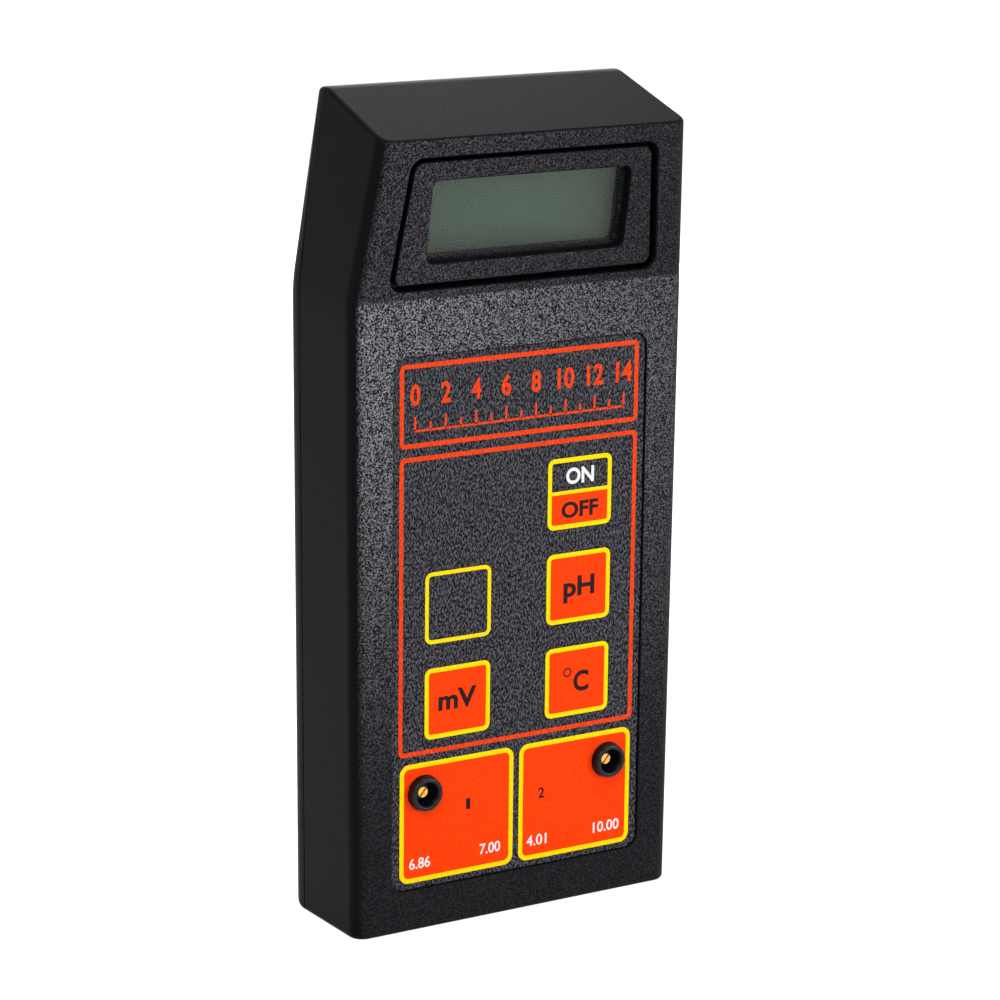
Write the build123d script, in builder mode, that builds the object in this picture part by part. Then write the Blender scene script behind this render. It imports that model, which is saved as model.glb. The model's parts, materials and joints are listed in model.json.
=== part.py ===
from build123d import *
import math
import os

# A portable pH meter: a moulded case with a tilted display head, a keypad panel with four keys,
# two calibration trimmers, a battery door in the back and the probe sockets behind the head.
# X runs across the meter, the front faces -Y, and +Z runs up its length from the foot it stands on.
# A depth is measured inwards from the front face.

os.makedirs("parts", exist_ok=True)

# Clearances
fit = 0.05            # radial room round a shaft, screw or peg
slack = 0.1           # room between parts that drop into a pocket
travel_gap = 0.15     # room beside a part that slides
root = 0.5            # how far a boss or rib starts inside the wall that carries it
overcut = 1.0         # how far a cut runs past the face it opens

# Case
case_width = 82.0     # at the crease, the widest place
foot_draft = 1.0      # each side of the foot in from the crease
crease_height = 137.0
head_rise = 33.5      # from the crease to the front top edge
head_lean = 9.3       # degrees, display face forwards
head_taper = 6.2      # degrees, each side of the head inwards
top_slope = 18.8      # degrees, top face down towards the front
back_bend_rise = 1.8  # from the crease to where the back bends
back_lean = 5.25      # degrees, back of the head forwards
bend_radius = 60.0
back_radius = 7.0
front_radius = 3.4
end_radius = 1.0
wall = 2.2
parting_depth = 22.5
parting_groove = 0.35

# Keypad panel
panel_side_margin = 8.7
panel_foot_margin = 9.3
panel_crease_margin = 12.0
panel_corner = 3.0
panel_recess = 2.0
panel_floor = 1.5
panel_lip = 0.4
panel_lap = 3.0           # the thicker wall behind the recess, past the edge of the recess
overlay_thickness = 0.5
circuit_thickness = 0.9
key_width = 16.3
key_height = 15.7
key_corner = 1.6
key_gap = 0.08
key_travel = 0.3
key_rim = 0.8             # how far a key reaches under the overlay that holds it in
key_rim_thickness = 0.2
key_play = 0.02
key_column_gap = 13.9
key_row_gap = 5.25
key_trimmer_gap = 7.7     # top of a trimmer's bush to the lowest keys
dome_radius = 4.0
dome_crown = 2.4
dome_sheet = 0.15
tail_width = 14.0
tail_thickness = 0.3
tail_drop = 21.0          # crease to the keypad's tail
connector_height = 2.5
connector_wall = 1.8
tail_grip = 1.5

# Calibration trimmers
trimmer_side_margin = 8.0
trimmer_rise = 21.2
trimmer_size = 6.6
trimmer_height = 4.9
trimmer_screw_radius = 1.15
trimmer_screw_depth = 0.85
trimmer_screw_grip = 2.5
slot_width = 0.45
slot_depth = 0.7
slot_turn = 50.0
bush_radius = 3.75
bush_wall = 1.1
bush_step = 0.55          # the shank in from the flange
bush_stand = 2.0
bush_rim = 0.5

# Circuit board
board_thickness = 1.6
board_gap = 0.3
board_foot = 14.0
board_top_drop = 11.0
board_corner = 1.0
board_post_end = 6.5
post_radius = 2.6
screw_radius = 0.9
screw_bite = 4.0
screw_head_radius = 2.0
screw_head_height = 1.2
chip_width = 14.0
chip_length = 50.0
chip_height = 3.8
chip_gap = 3.0            # between the converter chip and the tail's connector
amplifier_size = (6.4, 9.8, 3.4)
amplifier_side = 10.4
capacitor_radius = 3.0
capacitor_height = 8.0
capacitor_side = 3.4
parts_rise = 25.4         # battery compartment to the amplifiers and capacitors

# Battery compartment and door
battery_width = 26.5
battery_length = 48.5
battery_thickness = 16.8
battery_edge = 1.5
battery_side_room = 0.4
battery_floor_height = 12.6
terminal_height = 2.6
terminal_offset = 6.35
stud_radius = 2.9
socket_stud_radius = 3.6
snap_inset = 0.25
snap_depth = 12.0
snap_height = 3.4
compartment_wall = 1.0
compartment_head_room = 3.0
pad_thickness = 0.5
pad_margin = 3.0
door_room = 0.2           # between the battery and its door
door_thickness = 1.8
door_lap = 1.35           # past the sides of the compartment
door_head = 3.4           # past the top of the compartment
door_foot = 4.0
door_tongue = 0.9         # thickness of the tongues that hold the door
door_tongue_reach = 1.2
door_tongue_foot = 10.0
door_tongue_drop = 2.0
seat_thickness = 1.65
seat_lap = 3.0
grip_groove_count = 5
grip_groove_pitch = 2.6
grip_groove_length = 14.0
grip_groove_width = 1.2
grip_groove_depth = 0.5
grip_margin = 5.0

# Case screws
case_screw_radius = 1.4
case_screw_head_radius = 2.5
case_screw_head_height = 1.8
case_screw_sink = 1.2
case_screw_side_margin = 9.0
case_screw_foot = 14.0
case_screw_top_drop = 12.0
case_screw_bite = 9.0
case_boss_wall = 0.9

# Display, in depths below the display face
recess_side_margin = 7.9
recess_low = 1.8
recess_top_margin = 3.95
recess_corner = 3.0
recess_depth = 3.7
recess_floor = 1.3
recess_lap = 1.6
recess_lip = 0.5
moat_side = 2.3
moat_low = 2.1
moat_high = 1.5
bezel_sink = 0.5
bezel_corner = 1.8
window_side_margin = 15.18    # edge of the display face to the window, half way up the window
window_low_margin = 3.3       # edges of the bezel to the window
window_high_margin = 3.6
window_corner = 1.6
window_pane = 0.8
aperture_ledge = 0.9
lcd_side_lap = 1.3            # glass hidden behind the bezel
lcd_end_lap = 2.6
lcd_thickness = 2.8
strip_width = 2.4
strip_height = 3.4
strip_margin = 0.3
carrier_wall = 1.5
display_board_lap = 0.7
display_post_radius = 2.0
display_post_gap = 0.8
display_post_spread = 9.5     # each side of the middle of the window
ribbon_width = 24.0
ribbon_thickness = 0.4
ribbon_lap = 4.0
ribbon_bend = 1.5

# Sockets behind the head
socket_rise = 20.0            # from the crease
socket_offset = 16.0
bnc_barrel = 4.83
bnc_wall = 0.73
bnc_length = 11.0
bnc_neck = 4.7
bnc_neck_length = 8.5
bnc_flange_reach = 2.17
bnc_flange_height = 2.0
bnc_floor = 2.5               # solid behind the bore
bnc_lug_radius = 1.0
bnc_lug_height = 0.72
bnc_lug_back = 5.2
bnc_core = 2.6
bnc_pin = 0.75
bnc_pin_wall = 0.3
bnc_pin_sink = 2.0
bnc_pin_hole_length = 4.0
bnc_pin_tail = 2.5
nut_height = 2.4
nut_flats = 13.0
washer_height = 0.6
washer_reach = 1.7
jack_bore = 1.8
jack_bore_length = 14.0
jack_neck = 3.0
jack_neck_stand = 3.6
jack_body_radius = 4.3
jack_body_end = 12.0
jack_nut_height = 2.0
jack_nut_radius = 4.2

# Leads
lead_radius = 0.9
lead_bend = 4.0
lead_straight = 1.0           # past the length that a bend takes up
lead_offset = 1.5             # behind the middle of the case
lead_drop = 2.5               # board top to where the probe leads are soldered
battery_lead_radius = 0.7
battery_lead_side = 4.0
battery_lead_rise = 15.0
lead_hole_room = 0.8


def tan(angle):
    return math.tan(math.radians(angle))


def sin(angle):
    return math.sin(math.radians(angle))


def cos(angle):
    return math.cos(math.radians(angle))


def head_half(height):
    """Half the width of the display face at a height up its slope."""
    return case_width / 2 - height * cos(head_lean) * tan(head_taper)


# Depths from the front face back to the door, which set how thick the case is
panel_back = panel_recess + panel_floor
circuit_front = panel_recess - circuit_thickness
overlay_front = circuit_front - overlay_thickness
trimmer_front = panel_back + slack
board_front = trimmer_front + trimmer_height
board_back = board_front + board_thickness
tray_front = board_back + board_gap
pad_front = tray_front + compartment_wall
battery_front = pad_front + pad_thickness + slack
battery_back = battery_front + battery_thickness
door_inner = battery_back + door_room
case_depth = door_inner + door_thickness
front_y = -case_depth / 2
back_y = case_depth / 2

# Corners of the case seen from the side, as (y, z)
back_bend_height = crease_height + back_bend_rise
foot_front = (front_y, 0)
foot_back = (back_y, 0)
crease = (front_y, crease_height)
bend = (back_y, back_bend_height)
top_front = (front_y - head_rise * tan(head_lean), crease_height + head_rise)
top_fall = top_front[1] - tan(top_slope) * top_front[0]
top_back_y = (back_y - (top_fall - back_bend_height) * tan(back_lean)) / (1 + tan(top_slope) * tan(back_lean))
top_back = (top_back_y, top_fall + tan(top_slope) * top_back_y)

# Places on the front, as (x, z)
foot_half = case_width / 2 - foot_draft
panel_half = foot_half - panel_side_margin
panel_top = crease_height - panel_crease_margin
panel_middle = (panel_foot_margin + panel_top) / 2
panel_height = panel_top - panel_foot_margin
trimmer_x = panel_half - trimmer_side_margin
trimmer_z = panel_foot_margin + trimmer_rise
trimmers = {"left": -trimmer_x, "right": trimmer_x}
bush_bore = bush_radius - bush_wall
bush_shank = bush_radius - bush_step
key_x = (key_width + key_column_gap) / 2
lowest_key_z = trimmer_z + bush_radius + key_trimmer_gap + key_height / 2
key_rows = [lowest_key_z + row * (key_height + key_row_gap) for row in range(3)]
keys = {
    "key_millivolt": (-key_x, key_rows[0]),
    "key_celsius": (key_x, key_rows[0]),
    "key_ph": (key_x, key_rows[1]),
    "key_power": (key_x, key_rows[2]),
}
tail_z = crease_height - tail_drop
case_screw_x = foot_half - case_screw_side_margin
case_screws_z = [case_screw_foot, crease_height - case_screw_top_drop]
case_screw_spots = [(x, z) for x in (-case_screw_x, case_screw_x) for z in case_screws_z]

# Battery compartment and its door
battery_middle = battery_floor_height + battery_length / 2
battery_top = battery_floor_height + battery_length
battery_y = front_y + (battery_front + battery_back) / 2
snap_top = battery_top + slack + snap_height
compartment_half = battery_width / 2 + battery_side_room
compartment_foot = battery_floor_height - slack
compartment_top = snap_top + compartment_head_room
door_half = compartment_half + door_lap
door_top = compartment_top + compartment_wall + door_head
door_middle = (door_foot + door_top) / 2
door_tongue_top = door_top - door_tongue_drop
seat_foot = back_radius / 2

# Main board
case_boss_radius = case_screw_head_radius + slack + case_boss_wall
board_half = case_screw_x - case_boss_radius - root
board_top = crease_height - board_top_drop
board_middle = (board_foot + board_top) / 2
board_posts_x = (compartment_half + compartment_wall + board_half) / 2
board_posts_z = [board_foot + board_post_end, board_top - board_post_end]
board_post_spots = [(x, z) for x in (-board_posts_x, board_posts_x) for z in board_posts_z]
board_back_y = front_y + board_back
parts_z = compartment_top + compartment_wall + parts_rise
connector_rise = tail_thickness / 2 + connector_wall
chip_z = tail_z - connector_rise - chip_gap - chip_length / 2
dome_height = circuit_thickness - dome_sheet - key_rim_thickness - key_travel - 2 * key_play

# Display, as heights up the display face and depths behind it
recess_high = head_rise / cos(head_lean) - recess_top_margin
bezel_low = recess_low + moat_low
bezel_high = recess_high - moat_high
window_low = bezel_low + window_low_margin
window_high = bezel_high - window_high_margin
window_middle = (window_low + window_high) / 2
window_height = window_high - window_low
window_width = 2 * (head_half(window_middle) - window_side_margin)
lcd_width = window_width + 2 * lcd_side_lap
lcd_height = window_height + 2 * lcd_end_lap
recess_back = recess_depth + recess_floor
lcd_front = recess_back + fit
lcd_back = lcd_front + lcd_thickness
display_board_front = lcd_back + strip_height
display_board_back = display_board_front + board_thickness
carrier_half = lcd_width / 2 + slack + carrier_wall
carrier_rise = lcd_height / 2 + slack + carrier_wall
display_post_x = carrier_half + display_post_gap + display_post_radius
display_board_half = display_post_x + display_post_radius
display_board_rise = carrier_rise + display_board_lap
display_post_rows = [window_middle - display_post_spread, window_middle + display_post_spread]
display_post_spots = [(x, h) for x in (-display_post_x, display_post_x) for h in display_post_rows]

# Sockets, as depths below the back of the head
bnc_bore = bnc_barrel - bnc_wall
bnc_flange = bnc_barrel + bnc_flange_reach
bnc_pin_hole = bnc_pin - bnc_pin_wall
socket_height = crease_height + socket_rise
socket_y = back_y - (socket_height - back_bend_height) * tan(back_lean)
bnc_tip = -(bnc_flange_height + bnc_length)
bnc_bore_back = -(bnc_flange_height + bnc_floor)
pin_tip = bnc_tip + bnc_pin_sink
pin_end = bnc_neck_length + bnc_pin_tail


def front_at(depth):
    """The plane that lies this deep behind the front face, seen from the front, with its y along Z."""
    return Plane(origin=(0, front_y + depth, 0), x_dir=(1, 0, 0), z_dir=(0, -1, 0))


def head_at(depth):
    """The plane this deep behind the display face, with its origin over the crease and y up the slope."""
    outwards = Vector(0, -cos(head_lean), -sin(head_lean))
    return Plane(origin=Vector(0, *crease) - outwards * depth, x_dir=(1, 0, 0), z_dir=outwards)


def socket_at(depth):
    """The plane this deep behind the back of the head at the sockets, with its x along +X."""
    outwards = Vector(0, cos(back_lean), sin(back_lean))
    surface = Vector(0, socket_y, socket_height)
    return Plane(origin=surface - outwards * depth, x_dir=(1, 0, 0), z_dir=outwards)


def head_point(height, depth):
    """The (y, z) of a point in the head, up the slope of the display face and behind it."""
    y = front_y - height * sin(head_lean) + depth * cos(head_lean)
    return (y, crease_height + height * cos(head_lean) + depth * sin(head_lean))


def socket_point(depth):
    """The (y, z) of a point on a socket's axis, behind the back of the head."""
    return (socket_y - depth * cos(back_lean), socket_height - depth * sin(back_lean))


def block(x, y, width, height, near, far, face=front_at, corner=0.0, turn=0.0, mode=Mode.ADD):
    """A rectangular block between two depths, with rounded corners where it has a corner radius."""
    with BuildSketch(face(near)) as outline:
        with Locations((x, y)):
            if corner:
                RectangleRounded(width, height, corner, rotation=turn)
            else:
                Rectangle(width, height, rotation=turn)
    extrude(outline.sketch, amount=near - far, mode=mode)


def disc(x, y, radius, near, far, face=front_at, mode=Mode.ADD):
    """A round solid or hole between two depths."""
    with BuildSketch(face(near)) as outline:
        with Locations((x, y)):
            Circle(radius)
    extrude(outline.sketch, amount=near - far, mode=mode)


def ring(x, y, outer, inner, near, far, face=front_at):
    """A tube or washer between two depths."""
    with BuildSketch(face(near)) as outline:
        with Locations((x, y)):
            Circle(outer)
            Circle(inner, mode=Mode.SUBTRACT)
    extrude(outline.sketch, amount=near - far)


def head_frame(low, high, margin, near, far, corner=0.0, mode=Mode.ADD):
    """A block in the head whose sides keep one margin from the tapering edges of the display face."""
    right = [(head_half(height) - margin, height) for height in (low, high)]
    left = [(-x, height) for x, height in reversed(right)]
    with BuildSketch(head_at(near)) as outline:
        with BuildLine():
            Polyline(*right, *left, close=True)
        make_face()
        if corner:
            fillet(outline.vertices(), corner)
    extrude(outline.sketch, amount=near - far, mode=mode)


def upright(x, y, radius, low, high, mode=Mode.ADD):
    """A round stud or hole along Z."""
    with BuildSketch(Plane.XY.offset(low)) as outline:
        with Locations((x, y)):
            Circle(radius)
    extrude(outline.sketch, amount=high - low, mode=mode)


def lead(points, radius, bend):
    """A round lead along straight runs with rounded corners."""
    with BuildLine() as route:
        FilletPolyline(*points, radius=bend)
    start = Vector(*points[0])
    with BuildSketch(Plane(origin=start, z_dir=Vector(*points[1]) - start)) as section:
        Circle(radius)
    sweep(section.sketch, path=route.wires()[0])


def facing(form, direction):
    """The nearly flat faces of a form that look one way."""
    return form.faces().filter_by(lambda face: face.normal_at().dot(Vector(direction)) > 0.8)


def seam(some_faces, other_faces):
    """The edges where one group of faces meets another."""
    others = other_faces.edges()
    return ShapeList(edge for edge in some_faces.edges() if any(edge.is_same(other) for other in others))


def case_form(inset):
    """The outside of the case, or with an inset the space that leaves a wall that thick."""
    with BuildPart() as form:
        with BuildSketch(Plane.YZ) as side:
            with BuildLine():
                Polyline(foot_front, foot_back, bend, top_back, top_front, crease, close=True)
            make_face()
            if inset:
                offset(amount=-inset, kind=Kind.INTERSECTION)
            fillet(side.vertices().sort_by_distance(bend)[0], bend_radius)
        extrude(amount=case_width, both=True)
        with BuildSketch(Plane.XZ) as outline:
            reach = top_back[1]
            reach_half = case_width / 2 - (reach - crease_height) * tan(head_taper)
            with BuildLine():
                right = [(foot_half, 0), (case_width / 2, crease_height), (reach_half, reach)]
                left = [(-x, z) for x, z in reversed(right)]
                Polyline(*right, *left, close=True)
            make_face()
            fillet(outline.vertices().sort_by(SortBy.DISTANCE)[2:4], bend_radius)
            if inset:
                offset(amount=-inset, kind=Kind.INTERSECTION)
        extrude(amount=2 * case_depth, both=True, mode=Mode.INTERSECT)
        sides = facing(form, (1, 0, 0)) + facing(form, (-1, 0, 0))
        ends = facing(form, (0, 0, 1)) + facing(form, (0, 0, -1))
        fillet(seam(facing(form, (0, 1, 0)), sides + ends), back_radius - inset)
        sides = facing(form, (1, 0, 0)) + facing(form, (-1, 0, 0))
        fillet(seam(facing(form, (0, -1, 0)), sides), max(front_radius - inset, slack))
        if not inset:
            fillet(facing(form, (0, 0, -1)).edges().sort_by(Axis.Y)[:-1], end_radius)
            fillet(facing(form, (0, 0, 1)).edges().sort_by(Axis.Y)[:-1], end_radius)
    return form.part


def finish(piece, name):
    """Label a finished piece and write it."""
    piece.part.label = name
    export_step(piece.part, f"parts/{name}.step")
    print(name, len(piece.part.solids()), round(piece.part.volume, 1))


def lip_edges(builder, face):
    """The edges of the newest cut that lie in a face plane, where the cut's mouth is."""
    plane = face(0)
    new_edges = builder.edges(Select.LAST)
    return new_edges.filter_by(lambda edge: abs(plane.to_local_coords(edge.center()).Z) < slack)


case_outside = case_form(0)
case_inside = case_form(wall)
parting_plane = front_at(parting_depth)

# Front shell: the panel recess, the display recess, the bosses and the board posts
with BuildPart() as front_shell:
    add(case_outside)
    add(case_inside, mode=Mode.SUBTRACT)
    split(bisect_by=parting_plane, keep=Keep.TOP)
    block(0, panel_middle, 2 * (panel_half + panel_lap), panel_height + 2 * panel_lap,
          wall - root, panel_back, corner=panel_corner)
    for x, z in case_screw_spots:
        disc(x, z, case_boss_radius, wall - root, parting_depth - slack)
        disc(x, z, case_screw_radius + fit, parting_depth - case_screw_bite - slack, parting_depth,
             mode=Mode.SUBTRACT)
    for x, z in board_post_spots:
        disc(x, z, post_radius, panel_back - root, board_front)
        disc(x, z, screw_radius + fit, board_front - screw_bite - slack, board_front, mode=Mode.SUBTRACT)
    block(0, panel_middle, 2 * panel_half, panel_height, -overcut, panel_recess, corner=panel_corner,
          mode=Mode.SUBTRACT)
    fillet(lip_edges(front_shell, front_at), panel_lip)
    for x in trimmers.values():
        disc(x, trimmer_z, bush_shank + fit, 0, panel_back + slack, mode=Mode.SUBTRACT)
    block(0, tail_z, tail_width + 2 * slack, tail_thickness + 2 * slack, 0, panel_back + slack,
          mode=Mode.SUBTRACT)
    head_frame(recess_low - recess_lap, recess_high + recess_lap, recess_side_margin - recess_lap,
               wall - root, recess_back)
    for x, height in display_post_spots:
        disc(x, height, display_post_radius, recess_back - root, display_board_front, face=head_at)
        disc(x, height, screw_radius + fit, display_board_front - screw_bite - slack,
             display_board_front, face=head_at, mode=Mode.SUBTRACT)
    head_frame(recess_low, recess_high, recess_side_margin, -overcut, recess_depth,
               corner=recess_corner, mode=Mode.SUBTRACT)
    fillet(lip_edges(front_shell, head_at), recess_lip)
    block(0, window_middle, window_width - 2 * aperture_ledge, window_height - 2 * aperture_ledge,
          0, recess_back + slack, face=head_at, corner=window_corner, mode=Mode.SUBTRACT)
finish(front_shell, "front_shell")

# Groove that shows where the two shells meet
with BuildPart() as groove:
    add(case_outside)
    add(case_form(parting_groove), mode=Mode.SUBTRACT)
    block(0, crease_height / 2, 2 * case_width, 2 * crease_height, parting_depth,
          parting_depth + parting_groove, mode=Mode.INTERSECT)

# Rear shell: the battery compartment, the seat the door slides on, the screw bosses and the socket holes
seat_height = door_top + seat_lap - seat_foot
with BuildPart() as rear_shell:
    add(case_outside)
    add(case_inside, mode=Mode.SUBTRACT)
    split(bisect_by=parting_plane, keep=Keep.BOTTOM)
    add(groove.part, mode=Mode.SUBTRACT)
    for x, z in case_screw_spots:
        disc(x, z, case_boss_radius, parting_depth, case_depth - wall + root)
    block(0, (compartment_foot + compartment_top) / 2, 2 * (compartment_half + compartment_wall),
          compartment_top - compartment_foot + 2 * compartment_wall, tray_front, door_inner)
    block(0, seat_foot + seat_height / 2, 2 * (door_half + seat_lap), seat_height,
          door_inner - travel_gap - seat_thickness, door_inner + root)
    block(0, (compartment_foot + compartment_top) / 2, 2 * compartment_half,
          compartment_top - compartment_foot, pad_front, case_depth + overcut, mode=Mode.SUBTRACT)
    block(0, (door_top + travel_gap - overcut) / 2, 2 * (door_half + travel_gap),
          door_top + travel_gap + overcut, door_inner - travel_gap, case_depth + overcut,
          mode=Mode.SUBTRACT)
    block(0, (door_tongue_top + travel_gap - overcut) / 2, 2 * (door_half + door_tongue_reach + travel_gap),
          door_tongue_top + travel_gap + overcut, door_inner - travel_gap,
          door_inner + door_tongue + travel_gap, mode=Mode.SUBTRACT)
    lead_depth = battery_y - front_y
    lead_room = battery_lead_radius + lead_hole_room
    block(0, compartment_top + compartment_wall / 2, 2 * (battery_lead_side + lead_room),
          2 * compartment_wall, lead_depth - lead_room, lead_depth + lead_room, mode=Mode.SUBTRACT)
    head_depth = case_depth - case_screw_sink - case_screw_head_height
    for x, z in case_screw_spots:
        disc(x, z, case_screw_radius + slack, parting_depth - overcut, case_depth, mode=Mode.SUBTRACT)
        disc(x, z, case_screw_head_radius + slack, head_depth, case_depth + overcut, mode=Mode.SUBTRACT)
    disc(-socket_offset, 0, bnc_neck + fit, -overcut, wall + overcut, face=socket_at, mode=Mode.SUBTRACT)
    disc(socket_offset, 0, jack_neck + fit, -overcut, wall + overcut, face=socket_at, mode=Mode.SUBTRACT)
finish(rear_shell, "rear_shell")

# Battery door, which slides down past the foot
with BuildPart() as battery_door:
    add(case_outside)
    block(0, door_middle, 2 * door_half, door_top - door_foot, door_inner, case_depth + overcut,
          mode=Mode.INTERSECT)
    block(0, (door_tongue_foot + door_tongue_top) / 2, 2 * (door_half + door_tongue_reach),
          door_tongue_top - door_tongue_foot, door_inner, door_inner + door_tongue)
    for groove in range(grip_groove_count):
        block(0, door_top - grip_margin - groove * grip_groove_pitch, grip_groove_length, grip_groove_width,
              case_depth - grip_groove_depth, case_depth + overcut, mode=Mode.SUBTRACT)
finish(battery_door, "battery_door")

# Battery with its foam pad and snap
with BuildPart() as battery_pad:
    block(0, battery_middle, battery_width - 2 * pad_margin, battery_length - 2 * pad_margin,
          pad_front, pad_front + pad_thickness)
finish(battery_pad, "battery_pad")

with BuildPart() as battery:
    block(0, battery_middle, battery_width, battery_length, battery_front, battery_back)
    fillet(battery.edges().filter_by(Axis.Z), battery_edge)
    upright(-terminal_offset, battery_y, stud_radius, battery_top, battery_top + terminal_height)
    upright(terminal_offset, battery_y, socket_stud_radius, battery_top, battery_top + terminal_height)
finish(battery, "battery")

with BuildPart() as battery_snap:
    block(0, (battery_top + slack + snap_top) / 2, battery_width - 2 * snap_inset, snap_height,
          lead_depth - snap_depth / 2, lead_depth + snap_depth / 2)
    upright(-terminal_offset, battery_y, stud_radius + slack, battery_top,
            battery_top + terminal_height + slack, mode=Mode.SUBTRACT)
    upright(terminal_offset, battery_y, socket_stud_radius + slack, battery_top,
            battery_top + terminal_height + slack, mode=Mode.SUBTRACT)
finish(battery_snap, "battery_snap")

for name, side in (("battery_lead_red", -1), ("battery_lead_black", 1)):
    with BuildPart() as battery_lead:
        x = side * battery_lead_side
        bend_z = snap_top + battery_lead_rise
        lead([(x, battery_y, snap_top), (x, battery_y, bend_z), (x, board_back_y, bend_z)],
             battery_lead_radius, lead_bend)
    finish(battery_lead, name)

# Keypad: the overlay with its windows, the circuit behind it, the snap domes, the tail and the keys
with BuildPart() as keypad_overlay:
    block(0, panel_middle, 2 * (panel_half - slack), panel_height - 2 * slack, overlay_front, circuit_front,
          corner=panel_corner - slack)
    for x, z in keys.values():
        block(x, z, key_width + 2 * key_gap, key_height + 2 * key_gap, overlay_front, circuit_front,
              corner=key_corner + key_gap, mode=Mode.SUBTRACT)
    for x in trimmers.values():
        disc(x, trimmer_z, bush_radius + slack, overlay_front, circuit_front, mode=Mode.SUBTRACT)
finish(keypad_overlay, "keypad_overlay")

pocket_back = panel_recess - dome_sheet
with BuildPart() as keypad_circuit:
    block(0, panel_middle, 2 * (panel_half - slack), panel_height - 2 * slack, circuit_front, panel_recess,
          corner=panel_corner - slack)
    pocket_lap = key_rim + travel_gap
    for x, z in keys.values():
        block(x, z, key_width + 2 * pocket_lap, key_height + 2 * pocket_lap, circuit_front, pocket_back,
              corner=key_corner + pocket_lap, mode=Mode.SUBTRACT)
    for x in trimmers.values():
        disc(x, trimmer_z, bush_radius + slack, circuit_front, panel_recess, mode=Mode.SUBTRACT)
finish(keypad_circuit, "keypad_circuit")

with BuildPart() as snap_domes:
    for x, z in keys.values():
        disc(x, z, dome_radius, pocket_back - dome_height / 2, pocket_back)
        disc(x, z, dome_crown, pocket_back - dome_height, pocket_back)
finish(snap_domes, "snap_domes")

for name, (x, z) in keys.items():
    with BuildPart() as key:
        rim_front = circuit_front + key_play
        block(x, z, key_width, key_height, overlay_front, rim_front, corner=key_corner)
        block(x, z, key_width + 2 * key_rim, key_height + 2 * key_rim, rim_front,
              rim_front + key_rim_thickness, corner=key_corner + key_rim)
    finish(key, name)

with BuildPart() as keypad_tail:
    block(0, tail_z, tail_width, tail_thickness, panel_recess, board_front - connector_height + tail_grip)
finish(keypad_tail, "keypad_tail")

with BuildPart() as tail_connector:
    connector_front = board_front - connector_height
    block(0, tail_z, tail_width + 2 * connector_wall, 2 * connector_rise, connector_front, board_front)
    block(0, tail_z, tail_width + 2 * fit, tail_thickness + 2 * fit, connector_front,
          connector_front + tail_grip + slack, mode=Mode.SUBTRACT)
finish(tail_connector, "tail_connector")

# Calibration trimmers, each in a bush that reaches through the panel
for side, x in trimmers.items():
    with BuildPart() as bush:
        disc(x, trimmer_z, bush_radius, overlay_front - bush_stand, panel_recess)
        disc(x, trimmer_z, bush_shank, panel_recess, panel_back)
        disc(x, trimmer_z, bush_bore, overlay_front - bush_stand, panel_back, mode=Mode.SUBTRACT)
        rim = bush.edges().filter_by(GeomType.CIRCLE).group_by(Axis.Y)[0].sort_by(SortBy.RADIUS)[-1]
        fillet(rim, bush_rim)
    finish(bush, f"trimmer_bush_{side}")

    with BuildPart() as trimmer:
        block(x, trimmer_z, trimmer_size, trimmer_size, trimmer_front, board_front)
        disc(x, trimmer_z, trimmer_screw_radius + fit, trimmer_front,
             trimmer_front + trimmer_screw_grip + slack, mode=Mode.SUBTRACT)
    finish(trimmer, f"trimmer_body_{side}")

    with BuildPart() as trimmer_screw:
        disc(x, trimmer_z, trimmer_screw_radius, trimmer_screw_depth, trimmer_front + trimmer_screw_grip)
        block(x, trimmer_z, 2 * bush_bore, slot_width, trimmer_screw_depth, trimmer_screw_depth + slot_depth,
              turn=slot_turn, mode=Mode.SUBTRACT)
    finish(trimmer_screw, f"trimmer_screw_{side}")

# Main board with its screws and components
with BuildPart() as main_board:
    block(0, board_middle, 2 * board_half, board_top - board_foot, board_front, board_back,
          corner=board_corner)
    for x, z in board_post_spots:
        disc(x, z, screw_radius + slack, board_front, board_back, mode=Mode.SUBTRACT)
finish(main_board, "main_board")

with BuildPart() as board_screws:
    for x, z in board_post_spots:
        disc(x, z, screw_radius, board_front - screw_bite, board_back)
        disc(x, z, screw_head_radius, board_back, board_back + screw_head_height)
finish(board_screws, "board_screws")

with BuildPart() as converter_chip:
    block(0, chip_z, chip_width, chip_length, board_front - chip_height, board_front)
finish(converter_chip, "converter_chip")

with BuildPart() as amplifier_chips:
    amplifier_width, amplifier_length, amplifier_height = amplifier_size
    for x in (-amplifier_side, amplifier_side):
        block(x, parts_z, amplifier_width, amplifier_length,
              board_back, board_back + amplifier_height)
finish(amplifier_chips, "amplifier_chips")

with BuildPart() as capacitors:
    for x in (-capacitor_side, capacitor_side):
        disc(x, parts_z, capacitor_radius, board_back, board_back + capacitor_height)
finish(capacitors, "capacitors")

# Display, from the bezel back to its board
with BuildPart() as display_bezel:
    head_frame(bezel_low, bezel_high, recess_side_margin + moat_side, bezel_sink, recess_depth,
               corner=bezel_corner)
    block(0, window_middle, window_width, window_height, bezel_sink - overcut, recess_depth, face=head_at,
          corner=window_corner, mode=Mode.SUBTRACT)
finish(display_bezel, "display_bezel")

with BuildPart() as display_window:
    block(0, window_middle, window_width - 2 * fit, window_height - 2 * fit, recess_depth - window_pane,
          recess_depth, face=head_at, corner=window_corner - fit)
finish(display_window, "display_window")

with BuildPart() as lcd_panel:
    block(0, window_middle, lcd_width, lcd_height, lcd_front, lcd_back, face=head_at)
finish(lcd_panel, "lcd_panel")

with BuildPart() as lcd_carrier:
    block(0, window_middle, 2 * carrier_half, 2 * carrier_rise, recess_back, display_board_front,
          face=head_at)
    block(0, window_middle, lcd_width + 2 * slack, lcd_height + 2 * slack, recess_back,
          display_board_front, face=head_at, mode=Mode.SUBTRACT)
finish(lcd_carrier, "lcd_carrier")

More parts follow.
